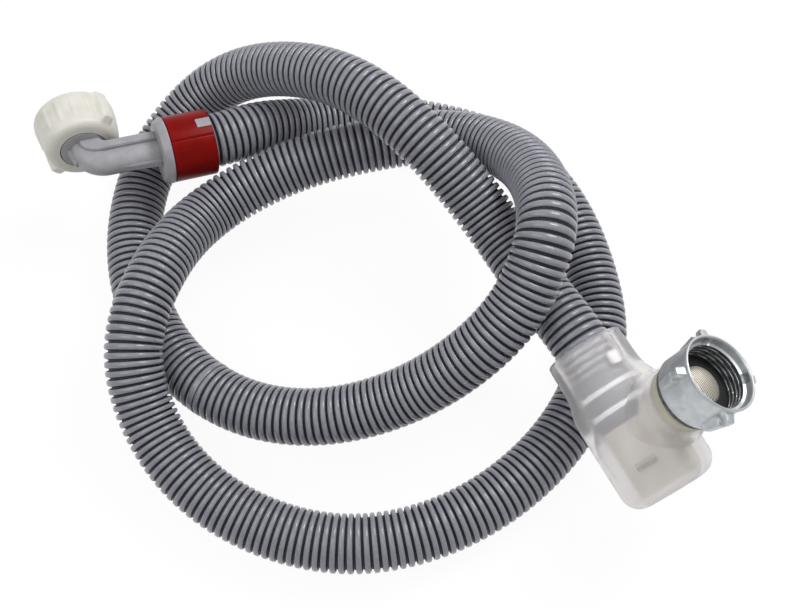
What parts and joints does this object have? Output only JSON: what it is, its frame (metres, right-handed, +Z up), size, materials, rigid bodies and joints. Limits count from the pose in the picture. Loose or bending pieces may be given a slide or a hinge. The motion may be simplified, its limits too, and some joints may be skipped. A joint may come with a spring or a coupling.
{
  "type": "water supply hose",
  "caption": "Corrugated water supply hose lying in a loose tangle, with a clear valve housing and metal union nut at the tap end and an elbow with a white nut at the other.",
  "frame": {"origin": "on the floor, under the middle of the whole hose as it lies", "axes": "+Z up, +X to the right of the picture along the longer side, +Y away from the camera"},
  "size_m": [0.2751, 0.2206, 0.0882],
  "materials": {
    "jacket_plastic": "satin",
    "frosted_plastic": "frosted",
    "dark_rubber": "matt",
    "coupling_plastic": "matt",
    "valve_plastic": "satin",
    "ring_plastic": "satin",
    "cast_zinc": "as cast",
    "strainer_steel": "woven",
    "red_plastic": "satin",
    "elbow_plastic": "satin",
    "white_plastic": "satin",
    "swelling_fibre": "felt"
  },
  "bodies": {
    "hose_and_fittings": {"hose": "jacket_plastic", "housing_near_shell": "frosted_plastic", "housing_far_shell": "frosted_plastic", "hose_coupling": "coupling_plastic", "pressure_hose_inlet_end": "dark_rubber", "inlet_crimp_ferrule": "cast_zinc", "valve_body": "valve_plastic", "seat_seal": "dark_rubber", "swelling_pad": "swelling_fibre", "valve_end_cap": "white_plastic", "inlet_spigot": "valve_plastic", "spigot_ring": "ring_plastic", "sealing_washer": "dark_rubber", "inlet_strainer": "strainer_steel", "locking_ring": "red_plastic", "jacket_sleeve": "elbow_plastic", "elbow": "elbow_plastic", "pressure_hose_outlet_end": "dark_rubber", "outlet_crimp_ferrule": "cast_zinc", "flat_washer": "dark_rubber"},
    "union_nut": {"union_nut": "cast_zinc"},
    "appliance_nut": {"appliance_nut": "white_plastic"},
    "valve_plunger": {"valve_plunger": "white_plastic"}
  },
  "joints": [
    {"name": "union_nut_turn", "type": "hinge", "parent": "hose_and_fittings", "child": "union_nut", "pos_m": [0.1012, -0.06217, 0.03813], "axis": [0.4372, 0.1418, 0.8881], "continuous": true},
    {"name": "appliance_nut_turn", "type": "hinge", "parent": "hose_and_fittings", "child": "appliance_nut", "pos_m": [-0.11284, 0.04728, 0.04534], "axis": [-0.3838, 0.915, -0.1239], "continuous": true},
    {"name": "valve_plunger_slide", "type": "slide", "parent": "hose_and_fittings", "child": "valve_plunger", "axis": [-0.5001, 0.8591, 0.109], "range_m": [0, 0.0028]}
  ]
}
